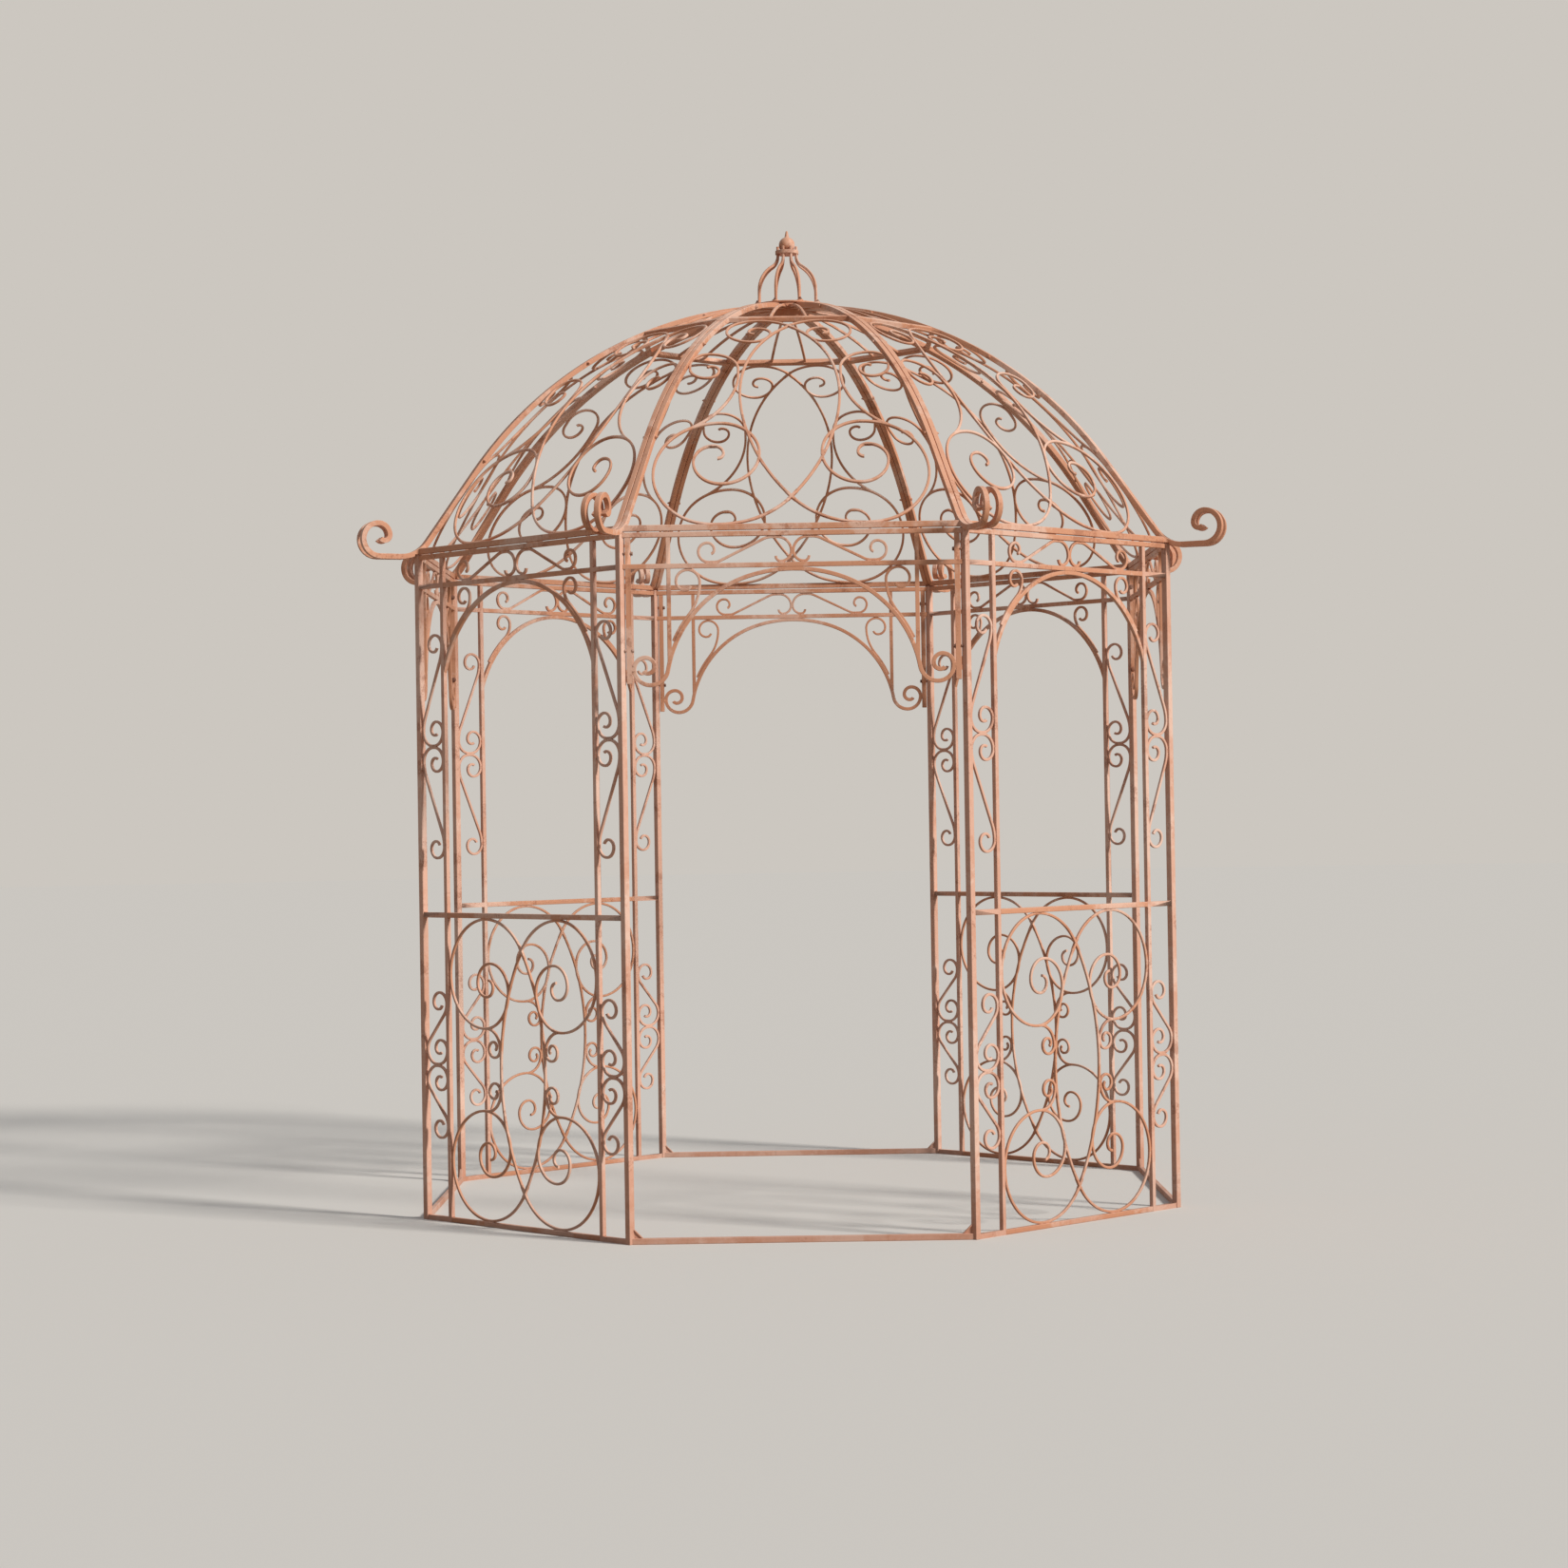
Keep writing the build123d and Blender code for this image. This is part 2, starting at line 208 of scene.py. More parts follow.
def add_mix(tree, mask, below, above):
    """Lays one colour over another where the mask is white."""
    node = tree.nodes.new("ShaderNodeMix")
    node.data_type = "RGBA"
    feed(tree, node.inputs["Factor"], mask)
    feed(tree, colour_socket(node.inputs, "A"), below)
    feed(tree, colour_socket(node.inputs, "B"), above)
    return colour_socket(node.outputs, "Result")


def object_place(tree):
    return tree.nodes.new("ShaderNodeTexCoord").outputs["Object"]


def stretched_place(tree, scale):
    """Object coordinates, finer across a bar than along it."""
    mapping = tree.nodes.new("ShaderNodeMapping")
    mapping.inputs["Scale"].default_value = scale
    tree.links.new(object_place(tree), mapping.inputs["Vector"])
    return mapping.outputs["Vector"]


# Effects that the materials share: the level that noise swings about, and how much finer a
# patch's frayed rim is than the patch, and brush marks than pits
noise_middle = 0.5
fray_fineness = 11
brush_fineness = 0.17


def patches_group():
    """Patches with frayed edges, which cover more of the surface as Cover grows."""
    group, entry, leave = new_group(
        "Weathered patches", [("Scale", 6.0), ("Cover", 0.4), ("Fray", 0.3)], ["Mask"]
    )
    scale, cover, fray = (entry.outputs[label] for label in ("Scale", "Cover", "Fray"))
    place = object_place(group)
    broad = add_noise(group, place, scale, detail=3, roughness=0.5)
    fine_scale = add_math(group, "MULTIPLY", scale, fray_fineness)
    fine = add_noise(group, place, fine_scale, detail=5, roughness=0.65)
    swing = add_math(group, "SUBTRACT", fine, noise_middle)
    frayed = add_math(group, "ADD", broad, add_math(group, "MULTIPLY", swing, fray))
    mask = add_cover(group, frayed, cover, bare=0.7, spread=0.42, rim=0.1)
    group.links.new(mask, leave.inputs["Mask"])
    return group


def painted_sky_light_group():
    """How far a face looks up: painted sky light, which pales the faces that look up."""
    group, entry, leave = new_group("Painted sky light", [("Reach", 0.8)], ["Mask"])
    normal = group.nodes.new("ShaderNodeNewGeometry").outputs["Normal"]
    uneven = add_noise(group, object_place(group), 14.0, detail=3, roughness=0.6)
    swing = add_math(group, "SUBTRACT", uneven, noise_middle)
    lifted = add_math(group, "ADD", add_height(group, normal), swing)
    sheltered_below = -0.1
    mask = add_range(group, lifted, sheltered_below, entry.outputs["Reach"])
    group.links.new(mask, leave.inputs["Mask"])
    return group


def run_marks_group():
    """Long thin marks that water has drawn down the bars."""
    group, entry, leave = new_group("Run marks", [("Cover", 0.3)], ["Mask"])
    drawn_down = stretched_place(group, (95, 95, 4.2))
    marks = add_noise(group, drawn_down, 1.0, detail=4, roughness=0.6)
    mask = add_cover(group, marks, entry.outputs["Cover"], bare=0.72, spread=0.4, rim=0.14)
    group.links.new(mask, leave.inputs["Mask"])
    return group


def splash_group():
    """Where rain splashes back off the ground, up to a ragged line near Height."""
    group, entry, leave = new_group("Ground splash", [("Height", 0.3)], ["Mask"])
    place = object_place(group)
    uneven = add_noise(group, place, 17.0, detail=4, roughness=0.6)
    spray = add_math(group, "MULTIPLY", uneven, 0.22)
    height = add_math(group, "ADD", add_height(group, place), spray)
    clean_above = add_math(group, "ADD", entry.outputs["Height"], 0.1)
    soaked_below = 0.08
    mask = add_range(group, height, clean_above, soaked_below)
    group.links.new(mask, leave.inputs["Mask"])
    return group


def skin_group():
    """Fine pits over the brush-laid coat, as a height, and a mask that is white in the pits."""
    group, entry, leave = new_group(
        "Pitted skin", [("Scale", 700.0), ("Depth", 0.6)], ["Height", "Pits"]
    )
    scale, depth = entry.outputs["Scale"], entry.outputs["Depth"]
    place = object_place(group)
    fine = add_noise(group, place, scale, detail=3, roughness=0.6)
    brushed_scale = add_math(group, "MULTIPLY", scale, brush_fineness)
    brushed = add_noise(group, place, brushed_scale, detail=4, roughness=0.55)
    pit_rim, pit_floor = 0.42, 0.26
    pits = add_range(group, fine, pit_rim, pit_floor)
    height = add_math(group, "SUBTRACT", brushed, add_math(group, "MULTIPLY", pits, depth))
    group.links.new(height, leave.inputs["Height"])
    group.links.new(pits, leave.inputs["Pits"])
    return group


group_makers = {
    "patches": patches_group,
    "sky": painted_sky_light_group,
    "run marks": run_marks_group,
    "splash": splash_group,
    "skin": skin_group,
}
shared_groups = {}


def add_effect(tree, name, output="Mask", **values):
    """Puts a shared effect in a material, with its own values."""
    if name not in shared_groups:
        shared_groups[name] = group_makers[name]()
    node = tree.nodes.new("ShaderNodeGroup")
    node.node_tree = shared_groups[name]
    for label, value in values.items():
        node.inputs[label].default_value = value
    return node.outputs[output]


# The iron's finish

pit_scale = 650.0
sound_roughness = 0.58


def iron_material(name, coat, paint, wear_and_highlight, rust, depth):
    """Primer on iron: faded, thin in places, worn on edges, rusted, marked by water, pitted, with
    painted sky light on the faces that look up and a painted highlight on the edges.
    """
    material = bpy.data.materials.new(name)
    material.use_nodes = True
    tree = material.node_tree
    shader = tree.nodes["Principled BSDF"]
    shader.inputs["Metallic"].default_value = 0.0
    shader.inputs["Specular IOR Level"].default_value = 0.38

    def share(mask, amount):
        return add_math(tree, "MULTIPLY", mask, amount)

    faded = add_effect(tree, "patches", Scale=3.2, Cover=0.5, Fray=0.35)
    thin = add_effect(tree, "patches", Scale=7.5, Cover=0.42, Fray=0.4)
    mottled = add_effect(tree, "patches", Scale=38.0, Cover=0.45, Fray=0.3)
    rusted = add_effect(tree, "patches", Scale=13.0, Cover=rust, Fray=0.55)
    # Painted sky light: the faces that look up are laid over with the bloom colour
    sky = add_effect(tree, "sky", Reach=0.95)
    runs = add_effect(tree, "run marks", Cover=0.32)
    splash = add_effect(tree, "splash", Height=0.28)
    pits = add_effect(tree, "skin", "Pits", Scale=pit_scale, Depth=depth)
    height = add_effect(tree, "skin", "Height", Scale=pit_scale, Depth=depth)
    # Rounded edges are paler in patches: worn primer, and also a painted highlight along the edges
    edge = tree.nodes.new("ShaderNodeAttribute")
    edge.attribute_name = "worn_and_highlit_edge"
    worn_and_highlit = add_math(tree, "MULTIPLY", edge.outputs["Fac"], mottled)
    rusting = add_math(tree, "MAXIMUM", share(rusted, 0.45), share(splash, 0.3))

    colour = paint
    for mask, layer in (
        (share(faded, 0.55), coat.bloom_and_highlight),
        (share(thin, 0.38), coat.warm),
        (share(mottled, 0.16), coat.warm),
        # painted sky light on the faces that look up
        (share(sky, 0.2), coat.bloom_and_highlight),
        # worn primer and painted highlight on the rounded edges
        (share(worn_and_highlit, wear_and_highlight), coat.bloom_and_highlight),
        (rusting, coat.rust),
        (share(runs, 0.2), coat.stain),
        (share(pits, 0.25), coat.stain),
    ):
        colour = add_mix(tree, mask, colour, tuple(layer))
    tree.links.new(colour, shader.inputs["Base Color"])

    rough = add_math(tree, "ADD", sound_roughness, share(rusting, 0.3))
    rough = add_math(tree, "ADD", rough, share(pits, 0.12))
    rough = add_math(tree, "SUBTRACT", rough, share(worn_and_highlit, 0.12))
    tree.links.new(rough, shader.inputs["Roughness"])

    raised = tree.nodes.new("ShaderNodeBump")
    raised.inputs["Strength"].default_value = 0.45
    raised.inputs["Distance"].default_value = 0.0006
    tree.links.new(height, raised.inputs["Height"])
    tree.links.new(raised.outputs["Normal"], shader.inputs["Normal"])
    return material


materials = {}


class GAZEBO_OT_finishes(bpy.types.Operator):
    """Mix the weathered finish of the posts, the dome, the scrolls, the bolts and the welds"""

    bl_idname = "gazebo.finishes"
    bl_label = "Finishes"

    def execute(self, context):
        coat = context.scene.gazebo_coat
        # The first number on each row pales the edges, as wear and as a painted highlight
        for key, name, paint, wear_and_highlight, rust, depth in (
            ("post", "Weathered posts", coat.posts, 0.4, 0.28, 0.6),
            # The dome's finish is a darker copy of the posts' primer, partly painted shade
            ("upper", "Weathered dome", coat.dome, 0.3, 0.3, 0.6),
            ("scroll", "Weathered scroll bar", coat.dome, 0.2, 0.3, 0.6),
            ("fixing", "Browned bolts", coat.bolt, 0.2, 0.5, 0.8),
            ("weld", "Painted welds", coat.warm, 0.2, 0.55, 1.0),
        ):
            materials[key] = iron_material(name, coat, tuple(paint), wear_and_highlight, rust, depth)
        return {"FINISHED"}


# Mesh pieces: how far two faces bend at a corner of a bar or a bolt, and where two ripples of
# a weld meet
corner_bend = radians(40)
ripple_bend = radians(80)


def add_piece(name, mesh, material, sharp=corner_bend):
    """Ends a mesh as a piece of the gazebo, smooth but for its corners."""
    data = bpy.data.meshes.new(name)
    mesh.to_mesh(data)
    mesh.free()
    data.polygons.foreach_set("use_smooth", [True] * len(data.polygons))
    data.set_sharp_from_angle(angle=sharp)
    data.materials.append(material)
    piece = bpy.data.objects.new(name, data)
    bpy.context.scene.collection.objects.link(piece)
    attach(piece, "root")
    return piece


def add_mesh(mesh, part):
    """Moves a finished part into the mesh of a piece."""
    data = bpy.data.meshes.new("part")
    part.to_mesh(data)
    part.free()
    mesh.from_mesh(data)
    bpy.data.meshes.remove(data)


def towards(place, direction):
    """A matrix that stands a shape's Z on a direction at a place."""
    turn = Vector((0, 0, 1)).rotation_difference(Vector(direction).normalized())
    return Matrix.Translation(place) @ turn.to_matrix().to_4x4()


def wall_frame(turn, reach):
    """Where a wall stands: its X runs along the wall, its -Y points out and its Z up."""
    return Matrix.Rotation(radians(turn), 4, "Z") @ Matrix.Translation((0, -reach, 0))


def bend(edge):
    """Angle between the faces of an edge, nothing on an open one."""
    return edge.calc_face_angle(0)


def soften(mesh, verts, offset):
    """Rounds the sharp edges at some vertices."""
    edges = {edge for vert in verts for edge in vert.link_edges}
    sharp = [edge for edge in edges if bend(edge) > corner_bend]
    bmesh.ops.bevel(
        mesh, geom=sharp, offset=offset, segments=2, profile=0.5, affect="EDGES", material=-1
    )


def add_rod(mesh, seat, radius, length, segments=14):
    """Round rod that stands on a seat."""
    return bmesh.ops.create_cone(
        mesh,
        cap_ends=True,
        segments=segments,
        radius1=radius,
        radius2=radius,
        depth=length,
        matrix=seat @ Matrix.Translation((0, 0, length / 2)),
    )["verts"]


def add_hex_bolt(mesh, seat, radius, tip=0.0):
    """Washer and hexagon head on a seat, with the screw's tip past it where it is a nut."""
    washer_radius = radius * 1.3
    washer_height = radius * 0.24
    head_height = radius * 0.8
    screw_radius = radius * 0.52
    washer = add_rod(mesh, seat, washer_radius, washer_height, segments=18)
    soften(mesh, washer, offset=radius * 0.07)
    raised = seat @ Matrix.Translation((0, 0, washer_height))
    head = add_rod(mesh, raised, radius, head_height, segments=6)
    soften(mesh, head, offset=radius * 0.12)
    if tip:
        screw = add_rod(mesh, raised, screw_radius, head_height + tip, segments=12)
        soften(mesh, screw, offset=radius * 0.08)


def add_bead(mesh, place, along, length, radius):
    """Weld bead as a row of flattened ripples, no two quite the same."""
    pitch = radius * 1.25
    flattened = Matrix.Diagonal((1, 1, 0.85, 1))
    along = Vector(along).normalized()
    count = max(2, round(length / pitch))
    for step in range(count):
        shift = (step + 0.5) / count - 0.5
        sway = sin(step * 2.4 + place.x * 40 + place.z * 31)
        seat = towards(place + along * shift * length, along) @ flattened
        size = radius * (0.92 + 0.14 * sway)
        bmesh.ops.create_icosphere(mesh, subdivisions=1, radius=size, matrix=seat)


# Rounded bars: how far the faces bend inside a joint, and the turn between two corners and the
# length, in roundings, under which a rounding has no room
joint_bend = radians(25)
tight_turn = radians(130)
tight_length = 2.5
same_place = 1e-6


class GAZEBO_OT_rounded_bars(bpy.types.Operator):
    """Round the edges of every tube and bar"""

    bl_idname = "gazebo.rounded_bars"
    bl_label = "Rounded bars"

    def execute(self, context):
        bars = context.scene.gazebo_bars
        for name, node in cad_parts.items():
            finish = self.finish_of(name)
            edge = bars.bar_edge if finish == "scroll" else bars.tube_edge
            piece = self.add_rounded(name, node, edge, materials[finish])
            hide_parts(name)
        return {"FINISHED"}

    def finish_of(self, name):
        """The finish of a CAD node, which its name tells."""
        if name.endswith(("scroll_panel", "scrollwork")):
            return "scroll"
        if name.endswith(("strip", "threshold")):
            return "post"
        # Headers and dome take the darker primer, which is partly painted shade
        return "upper"

    def add_rounded(self, name, node, offset, material):
        """A copy of a CAD node with rounded corners, which are marked as edges that wear and take a
        painted highlight.
        """
        mesh = bmesh.new()
        mesh.from_mesh(node.data)
        bmesh.ops.remove_doubles(mesh, verts=mesh.verts, dist=same_place)
        # Marks the roundings, which the material paints paler as wear and as a painted highlight
        worn_and_highlit = mesh.faces.layers.float.new("worn_and_highlit_edge")
        rounded = bmesh.ops.bevel(
            mesh,
            geom=self.open_edges(mesh, offset),
            offset=offset,
            segments=2,
            profile=0.5,
            affect="EDGES",
            material=-1,
            clamp_overlap=False,
        )
        for face in rounded["faces"]:
            face[worn_and_highlit] = 1
        piece = add_piece(f"{name}_rounded", mesh, material)
        weighted = piece.modifiers.new("Flat faces", "WEIGHTED_NORMAL")
        weighted.keep_sharp = True
        return piece

    def open_edges(self, mesh, offset):
        """Outer corners of the bars, but for those at tight joints, where rounding would fold."""
        corners = {edge for edge in mesh.edges if edge.is_convex and bend(edge) > corner_bend}
        crowded = True
        while crowded:
            crowded = set()
            for vert in mesh.verts:
                meeting = [edge for edge in vert.link_edges if edge in corners]
                if self.is_tight(vert, meeting, offset):
                    crowded.update(meeting)
            corners -= crowded
        return list(corners)

    def is_tight(self, vert, meeting, offset):
        """Whether the corners that meet at a vertex leave no room for their roundings."""
        if len(meeting) < 2:
            return False
        short = min(edge.calc_length() for edge in meeting) < tight_length * offset
        inside = any(not edge.is_convex and bend(edge) > joint_bend for edge in vert.link_edges)
        if len(meeting) > 2:
            return short or inside or len(meeting) > 3
        first, second = [edge.other_vert(vert).co - vert.co for edge in meeting]
        return first.angle(second) < tight_turn and (short or inside)


# Bracket bolts, out from the middle of an open side and up from the ground. Each goes from
# the bracket's face to a nut in the groove between the bracket and its post, a little outside
# the wall's middle.
bracket_face = 0.469
bracket_groove = 0.485
groove_outward = 0.0035
groove_nut = 0.0038
groove_screw = 0.012
bracket_bolt_heights = (1.998, 1.716)


class GAZEBO_OT_bracket_bolts(bpy.types.Operator):
    """Bolt the open sides' brackets to their posts"""

    bl_idname = "gazebo.bracket_bolts"
    bl_label = "Bracket bolts"

    def execute(self, context):
        mesh = bmesh.new()
        radius = context.scene.gazebo_fixings.bracket_bolt
        for turn in open_turns:
            wall = wall_frame(turn, open_reach)
            for side in (-1, 1):
                for height in bracket_bolt_heights:
                    face = (side * bracket_face, 0, height)
                    add_hex_bolt(mesh, wall @ towards(face, (-side, 0, 0)), radius)
                    groove = (side * bracket_groove, -groove_outward, height)
                    self.add_groove_nut(mesh, wall @ towards(groove, (side, 0, 0)), radius)
        add_piece("bracket_bolts", mesh, materials["fixing"])
        return {"FINISHED"}

    def add_groove_nut(self, mesh, seat, radius):
        """A flat nut with the end of its screw, slighter than the bolt's head."""
        nut = add_rod(mesh, seat, radius * 0.85, groove_nut, segments=6)
        soften(mesh, nut, offset=radius * 0.1)
        add_rod(mesh, seat, radius * 0.5, groove_screw)


# Corner braces, a plate with a flat bar along its slope, let a little into post and threshold
brace_plate = 0.003
brace_flat_width = 0.011
brace_flat_thickness = 0.0036
brace_flat_edge = 0.0009
brace_sink = 0.001
post_half_diagonal = 0.0142


class GAZEBO_OT_corner_braces(bpy.types.Operator):
    """Brace the thresholds' ends to the posts with small gussets"""

    bl_idname = "gazebo.corner_braces"
    bl_label = "Corner braces"

    def execute(self, context):
        mesh = bmesh.new()
        leg = context.scene.gazebo_fixings.brace
        post_face = half_open - post_half_diagonal
        for turn in open_turns:
            wall = wall_frame(turn, open_reach)
            for side in (-1, 1):
                corner = Matrix.Translation((side * post_face, 0, sill_top - brace_sink))
                self.add_gusset(mesh, wall @ corner, side, leg)
        add_piece("corner_braces", mesh, materials["post"])
        return {"FINISHED"}

    def add_gusset(self, mesh, corner, side, leg):
        """A plate cut across to a triangle, and a flat bar along its slope."""
        plate = bmesh.new()
        bmesh.ops.create_cube(plate, size=1, matrix=Matrix.Diagonal((leg, brace_plate, leg, 1)))
        cut = bmesh.ops.bisect_plane(
            plate,
            geom=plate.verts[:] + plate.edges[:] + plate.faces[:],
            plane_co=(0, 0, 0),
            plane_no=(-side, 0, 1),
            clear_outer=True,
        )
        rim = [item for item in cut["geom_cut"] if isinstance(item, bmesh.types.BMEdge)]
        bmesh.ops.holes_fill(plate, edges=rim)
        length = leg * 2**0.5 + brace_plate
        bar = Matrix.Diagonal((length, brace_flat_width, brace_flat_thickness, 1))
        slope = Matrix.Rotation(-side * pi / 4, 4, "Y")
        flat = bmesh.ops.create_cube(plate, size=1, matrix=slope @ bar)
        soften(plate, flat["verts"], brace_flat_edge)
        middle = Matrix.Translation((-side * (leg / 2 - brace_sink), 0, leg / 2))
        bmesh.ops.transform(plate, matrix=corner @ middle, verts=plate.verts)
        add_mesh(mesh, plate)


# The ribs' centre line in reach and height, an arc over the dome and straight past its knee,
# with half the width of a pair of ribs, and the bolts through them
rib_arc_radius = 1.356
rib_arc_middle = (-0.0287, 1.5372)
rib_knee = 1.075
rib_slope = 1.402
rib_side = 0.017
rib_bolt_reaches = (0.3, 0.7, 1.05)
rib_screw_tip = 0.004


def rib_height(reach):
    """Height of the ribs' centre line: an arc, then straight down to the hooks."""
    middle_reach, middle_height = rib_arc_middle
    round_reach = min(reach, rib_knee)
    rise = (rib_arc_radius**2 - (round_reach - middle_reach) ** 2) ** 0.5
    return middle_height + rise - max(0, reach - rib_knee) * rib_slope


class GAZEBO_OT_rib_bolts(bpy.types.Operator):
    """Bolt each pair of ribs together, side to side"""

    bl_idname = "gazebo.rib_bolts"
    bl_label = "Rib bolts"

    def execute(self, context):
        mesh = bmesh.new()
        radius = context.scene.gazebo_fixings.rib_bolt
        for turn in open_turns:
            for corner in (-corner_angle, corner_angle):
                plane = Matrix.Rotation(radians(turn - 90) + corner, 4, "Z")
                for reach in rib_bolt_reaches:
                    for side in (-1, 1):
                        seat = towards((reach, side * rib_side, rib_height(reach)), (0, side, 0))
                        tip = rib_screw_tip if side > 0 else 0
                        add_hex_bolt(mesh, plane @ seat, radius, tip)
        add_piece("rib_bolts", mesh, materials["upper"])
        return {"FINISHED"}


# Crown nuts, in from the crown's widest reach and up from its underside
crown_feet = 8
crown_foot_inset = 0.0055
crown_foot_top = 0.0098
crown_screw_tip = 0.0025


class GAZEBO_OT_crown_nuts(bpy.types.Operator):
    """Fasten the crown's feet through its ring"""

    bl_idname = "gazebo.crown_nuts"
    bl_label = "Crown nuts"

    def execute(self, context):
        mesh = bmesh.new()
        nut = context.scene.gazebo_fixings.crown_nut
        reach = crown_high[0] - crown_foot_inset
        height = crown_low[2] + crown_foot_top
        for foot in range(crown_feet):
            azimuth = (foot + 0.5) * 2 * pi / crown_feet
            seat = towards((reach * cos(azimuth), reach * sin(azimuth), height), (0, 0, 1))
            add_hex_bolt(mesh, seat, nut, crown_screw_tip)
        add_piece("crown_nuts", mesh, materials["fixing"])
        return {"FINISHED"}


# Walls' welds: the sides of posts and rails that they run along, out from a wall's middle and
# up from the ground, and how far the beads lie off the middle of a bar's thickness
post_side = 0.4572
inner_post_sides = (0.3566, 0.3422)
bottom_rail_top = 0.0152
mid_rail_sides = (0.9348, 0.9512)
frieze_rail_sides = (1.9528, 1.9672)
bead_offset = 0.0042
bead_length = 0.011

# Headings of the beads: along the wall, through it and up it
along_x = (1, 0, 0)
along_y = (0, 1, 0)
along_z = (0, 0, 1)

# Where scrolls and arches touch rails and posts, on one half of a wall
frieze_welds = [(0.033, 1.967, along_x), (0.051, 2.044, along_x), (0.235, 1.967, along_x)]
open_welds = frieze_welds + [(0.306, 1.953, along_x), (0.469, 1.663, along_z)]
panel_welds = frieze_welds + [
    (0.166, 0.935, along_x),
    (0.166, 0.015, along_x),
    (0.3421, 0.190, along_z),
    (0.3421, 0.760, along_z),
]

# Each two S scrolls in a side strip: the height of their middle and how far their tails reach
strip_pairs = ((1.463, 0.310), (0.480, 0.190))
strip_welds = [
    (place, middle + way * rise, along_z)
    for middle, reach in strip_pairs
    for way in (-1, 1)
    for place, rise in (
        (post_side, 0.046),
        (inner_post_sides[0], 0.045),
        (inner_post_sides[0], reach),
    )
]

# Where rails end on posts
tie_welds = [
    (place, height, along_y)
    for place in (post_side, *inner_post_sides)
    for height in (bottom_rail_top, *mid_rail_sides, *frieze_rail_sides)
]


class GAZEBO_OT_wall_welds(bpy.types.Operator):
    """Lay weld beads where bars meet in the walls"""

    bl_idname = "gazebo.wall_welds"
    bl_label = "Wall welds"

    def execute(self, context):
        mesh = bmesh.new()
        radius = context.scene.gazebo_bars.weld
        for turn in open_turns:
            self.add_welds(mesh, wall_frame(turn, open_reach), open_welds, radius)
        for turn in panel_turns:
            wall = wall_frame(turn, panel_reach)
            self.add_welds(mesh, wall, panel_welds + strip_welds + tie_welds, radius)
        add_piece("wall_welds", mesh, materials["weld"], sharp=ripple_bend)
        return {"FINISHED"}

    def add_welds(self, mesh, wall, welds, radius):
        """Lays the same beads on both halves of a wall."""
        turn = wall.to_3x3()
        for place, height, along in welds:
            depths = (0,) if along == along_y else (-bead_offset, bead_offset)
            for side in (-1, 1):
                for depth in depths:
                    spot = wall @ Vector((side * place, depth, height))
                    add_bead(mesh, spot, turn @ Vector(along), bead_length, radius)


# Dome's welds: how near a scroll comes where it touches, how far one touch reaches, the least
# half length of a touch, and the bead's length for each half length, up to its greatest
touch_gap = 0.0004
touch_reach = 0.03
least_half_touch = 0.001
bead_per_half_touch = 1.6
longest_bead = 0.02

# A gore over an open side and one over a panel. The others are quarter turns of these two.
measured_gores = ("front", "front_right")


class GAZEBO_OT_dome_welds(bpy.types.Operator):
    """Find where the dome's scrolls touch their frames, and lay a weld bead there"""

    bl_idname = "gazebo.dome_welds"
    bl_label = "Dome welds"

    def execute(self, context):
        mesh = bmesh.new()
        radius = context.scene.gazebo_bars.weld
        for name in measured_gores:
            spots = self.touching_spots(name)
            for quarter in range(4):
                turn = Matrix.Rotation(quarter * pi / 2, 3, "Z")
                for middle, along, length in spots:
                    add_bead(mesh, turn @ middle, turn @ along, length, radius)
        add_piece("dome_welds", mesh, materials["weld"], sharp=ripple_bend)
        return {"FINISHED"}

    def touching_spots(self, name):
        """Middle, heading and length of each bead where the scrolls lie on the frame."""
        spots = []
        for touch in self.touches(name):
            middle = sum(touch, Vector()) / len(touch)
            far = max(touch, key=lambda place: (place - middle).length)
            along = far - middle
            if along.length > least_half_touch:
                length = min(longest_bead, along.length * bead_per_half_touch)
                spots.append((middle, along.normalized(), length))
        return spots

    def touches(self, name):
        """The scrolls' vertices that lie on the frame, gathered touch by touch."""
        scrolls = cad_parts[f"{name}_roof_scrollwork"].data
        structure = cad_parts[f"{name}_roof_frame"].data
        surface = BVHTree.FromPolygons(
            [vert.co for vert in structure.vertices],
            [tuple(face.vertices) for face in structure.polygons],
        )
        touches = []
        for vert in scrolls.vertices:
            if surface.find_nearest(vert.co, touch_gap)[0] is None:
                continue
            near = [touch for touch in touches if (touch[0] - vert.co).length < touch_reach]
            if near:
                near[0].append(vert.co.copy())
            else:
                touches.append([vert.co.copy()])
        return touches


# Stage: the camera's turns and its step to one side, the floor and the light. Turns and the
# sun's width are in degrees.
view_yaw = 0.10
view_pitch = 0.636
view_roll = -0.898
view_shift = -0.019
sensor_width = 36
far_clip = 200
floor_radius = 60
sun_place = (0, 0, 6)
sun_side = (0.93, -0.62, 0.64)
sun_width = 9
sun_colour = (1.0, 0.965, 0.91)
sky_colour = (0.93, 0.95, 1.0, 1)


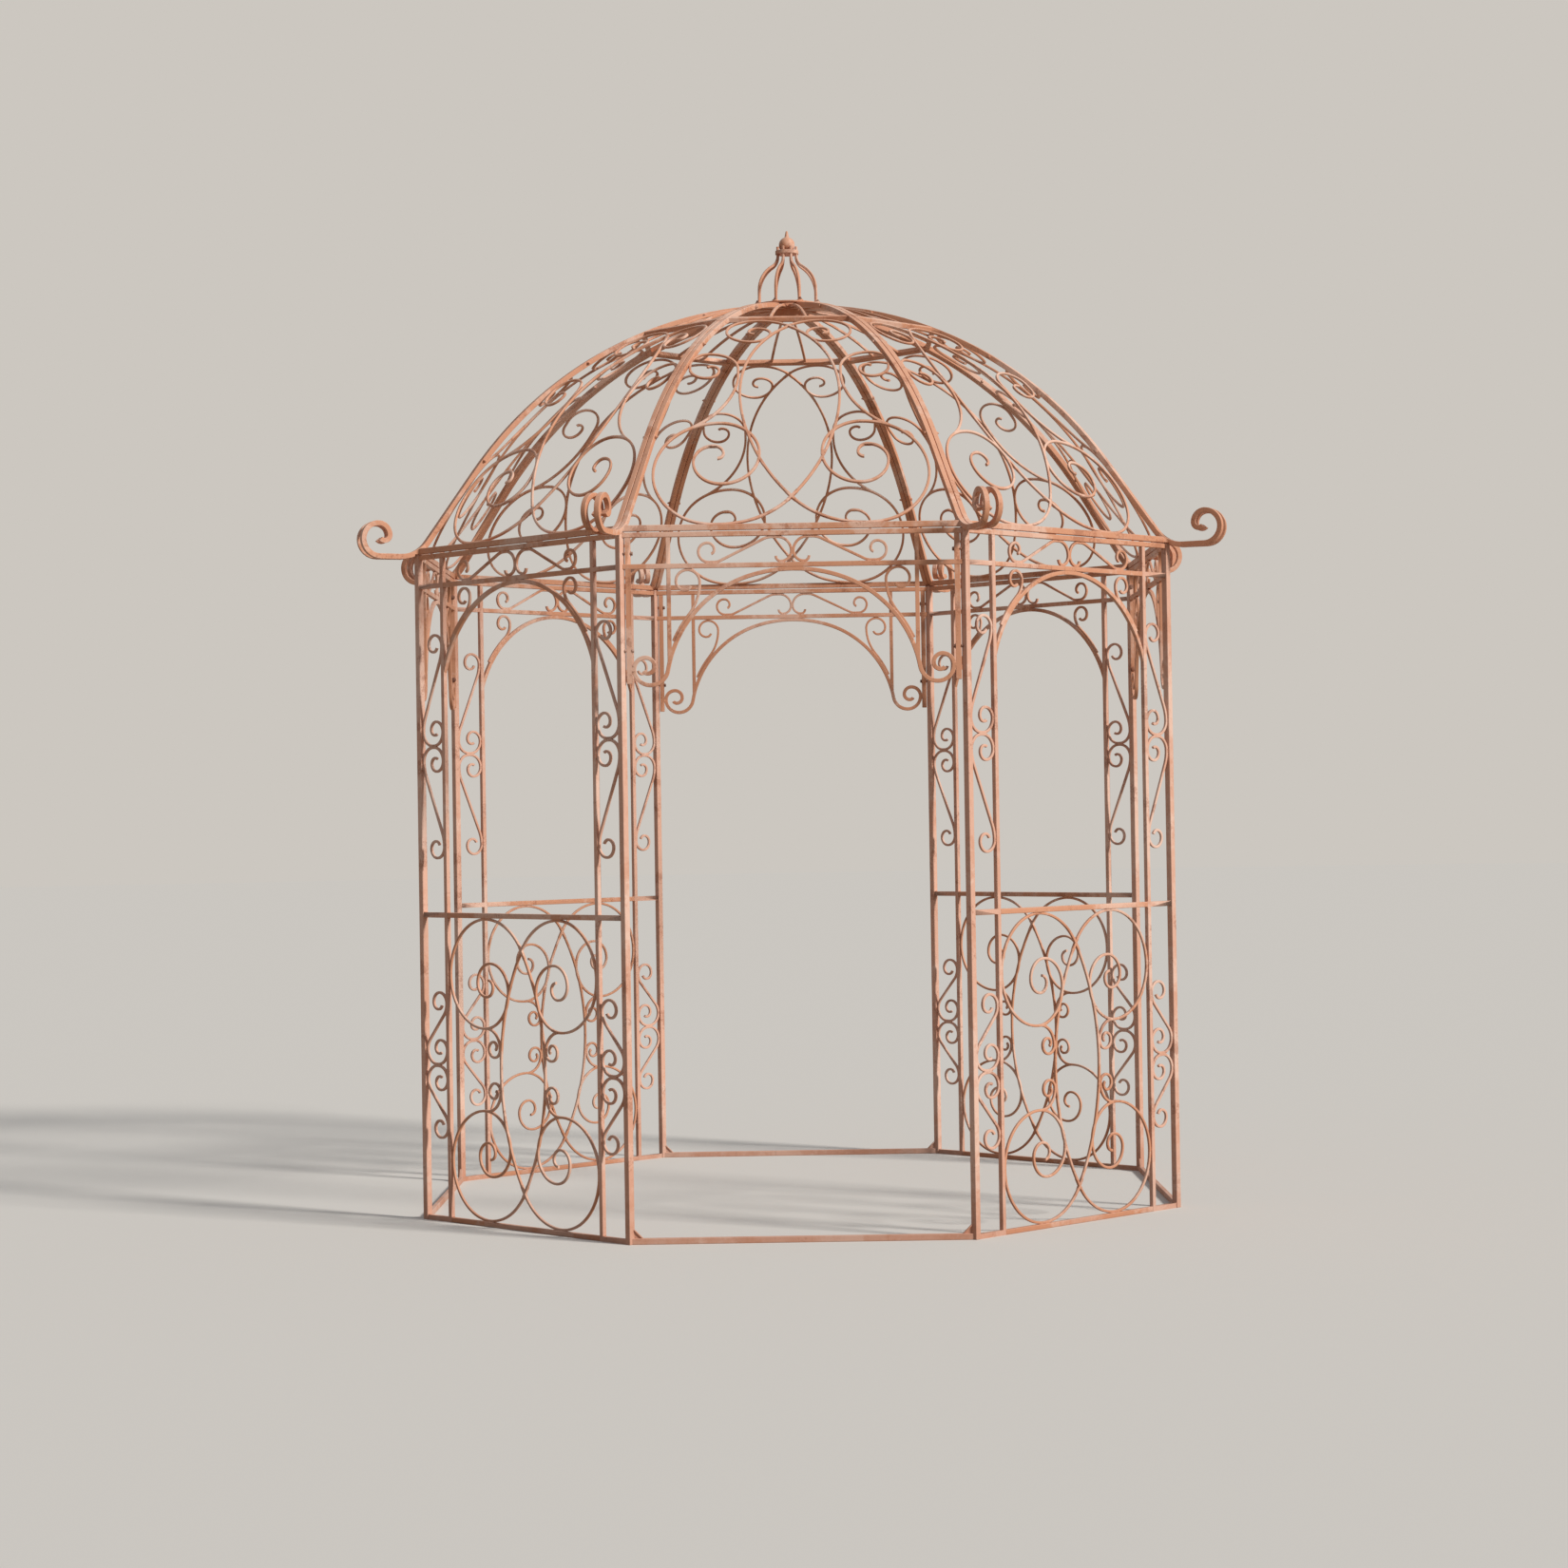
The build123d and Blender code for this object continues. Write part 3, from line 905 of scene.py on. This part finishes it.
class GAZEBO_OT_stage(bpy.types.Operator):
    """Set the floor, the backdrop, the lights and the camera"""

    bl_idname = "gazebo.stage"
    bl_label = "Stage"

    def execute(self, context):
        settings = context.scene.gazebo_stage
        self.add_floor(context, settings)
        self.add_world(context, settings)
        self.add_sun(context, settings)
        self.add_camera(context, settings)
        context.scene.view_settings.view_transform = "Standard"
        return {"FINISHED"}

    def add_floor(self, context, settings):
        mesh = bmesh.new()
        bmesh.ops.create_circle(mesh, cap_ends=True, segments=96, radius=floor_radius)
        data = bpy.data.meshes.new("stage_floor")
        mesh.to_mesh(data)
        mesh.free()
        data.materials.append(self.floor_material(settings))
        floor = bpy.data.objects.new("stage_floor", data)
        context.scene.collection.objects.link(floor)

    def floor_material(self, settings):
        """Pale to the eye, and as dark as paving in the light that it throws back up."""
        material = bpy.data.materials.new("Pale floor")
        material.use_nodes = True
        tree = material.node_tree
        shown = tree.nodes["Principled BSDF"]
        shown.inputs["Base Color"].default_value = tuple(settings.floor)
        shown.inputs["Roughness"].default_value = 1.0
        shown.inputs["Specular IOR Level"].default_value = 0.0
        paving = tree.nodes.new("ShaderNodeBsdfDiffuse")
        paving.inputs["Color"].default_value = tuple(settings.bounce)
        self.show(tree, shown, paving, tree.nodes["Material Output"])
        return material

    def add_world(self, context, settings):
        """Soft sky light, with a plain backdrop where the camera or a reflection sees it."""
        world = bpy.data.worlds.new("Studio")
        world.use_nodes = True
        tree = world.node_tree
        sky = tree.nodes["Background"]
        sky.inputs["Color"].default_value = sky_colour
        sky.inputs["Strength"].default_value = settings.fill
        shown = tree.nodes.new("ShaderNodeBackground")
        shown.inputs["Color"].default_value = tuple(settings.backdrop)
        self.show(tree, shown, sky, tree.nodes["World Output"])
        context.scene.world = world

    def show(self, tree, shown, lighting, output):
        """One shader for the camera and reflections, and another for all other light."""
        rays = tree.nodes.new("ShaderNodeLightPath").outputs
        seen = add_math(tree, "MAXIMUM", rays["Is Camera Ray"], rays["Is Glossy Ray"])
        seen = add_math(tree, "MAXIMUM", seen, rays["Is Transmission Ray"])
        both = tree.nodes.new("ShaderNodeMixShader")
        tree.links.new(seen, both.inputs[0])
        tree.links.new(lighting.outputs[0], both.inputs[1])
        tree.links.new(shown.outputs[0], both.inputs[2])
        tree.links.new(both.outputs[0], output.inputs["Surface"])

    def add_sun(self, context, settings):
        sun = bpy.data.lights.new("Key", "SUN")
        sun.energy = settings.key
        sun.angle = radians(sun_width)
        sun.color = sun_colour
        lamp = bpy.data.objects.new("Key", sun)
        lamp.matrix_world = towards(sun_place, sun_side)
        context.scene.collection.objects.link(lamp)

    def add_camera(self, context, settings):
        data = bpy.data.cameras.new("Camera")
        data.sensor_width = sensor_width
        data.lens = settings.lens
        data.clip_end = far_clip
        camera = bpy.data.objects.new("Camera", data)
        aim = Matrix.Rotation(radians(view_yaw), 4, "Z")
        tilt = Matrix.Rotation(radians(90 + view_pitch), 4, "X")
        roll = Matrix.Rotation(radians(view_roll), 4, "Z")
        place = Matrix.Translation((view_shift, -settings.distance, settings.eye))
        camera.matrix_world = place @ aim @ tilt @ roll
        context.scene.collection.objects.link(camera)
        context.scene.camera = camera


# Panel and registration


class GAZEBO_PT_panel(bpy.types.Panel):
    """Lists the gazebo's settings and steps"""

    bl_idname = "GAZEBO_PT_panel"
    bl_label = "Iron gazebo"
    bl_space_type = "VIEW_3D"
    bl_region_type = "UI"
    bl_category = "Gazebo"

    def draw(self, context):
        for name, group in setting_groups:
            box = self.layout.box()
            for entry in group.__annotations__:
                box.prop(getattr(context.scene, name), entry)
        for step in steps:
            self.layout.operator(step)


steps = (
    "gazebo.finishes",
    "gazebo.rounded_bars",
    "gazebo.bracket_bolts",
    "gazebo.corner_braces",
    "gazebo.rib_bolts",
    "gazebo.crown_nuts",
    "gazebo.wall_welds",
    "gazebo.dome_welds",
    "gazebo.stage",
)
setting_groups = (
    ("gazebo_coat", GazeboCoat),
    ("gazebo_bars", GazeboBars),
    ("gazebo_fixings", GazeboFixings),
    ("gazebo_stage", GazeboStage),
)
classes = (
    GazeboCoat,
    GazeboBars,
    GazeboFixings,
    GazeboStage,
    GAZEBO_OT_finishes,
    GAZEBO_OT_rounded_bars,
    GAZEBO_OT_bracket_bolts,
    GAZEBO_OT_corner_braces,
    GAZEBO_OT_rib_bolts,
    GAZEBO_OT_crown_nuts,
    GAZEBO_OT_wall_welds,
    GAZEBO_OT_dome_welds,
    GAZEBO_OT_stage,
    GAZEBO_PT_panel,
)


def register():
    for cls in classes:
        bpy.utils.register_class(cls)
    for name, group in setting_groups:
        setattr(bpy.types.Scene, name, bpy.props.PointerProperty(type=group))


def unregister():
    for name, _ in setting_groups:
        delattr(bpy.types.Scene, name)
    for cls in reversed(classes):
        bpy.utils.unregister_class(cls)


def main():
    register()
    for step in steps:
        group, name = step.split(".")
        getattr(getattr(bpy.ops, group), name)()


if __name__ == "__main__":
    main()
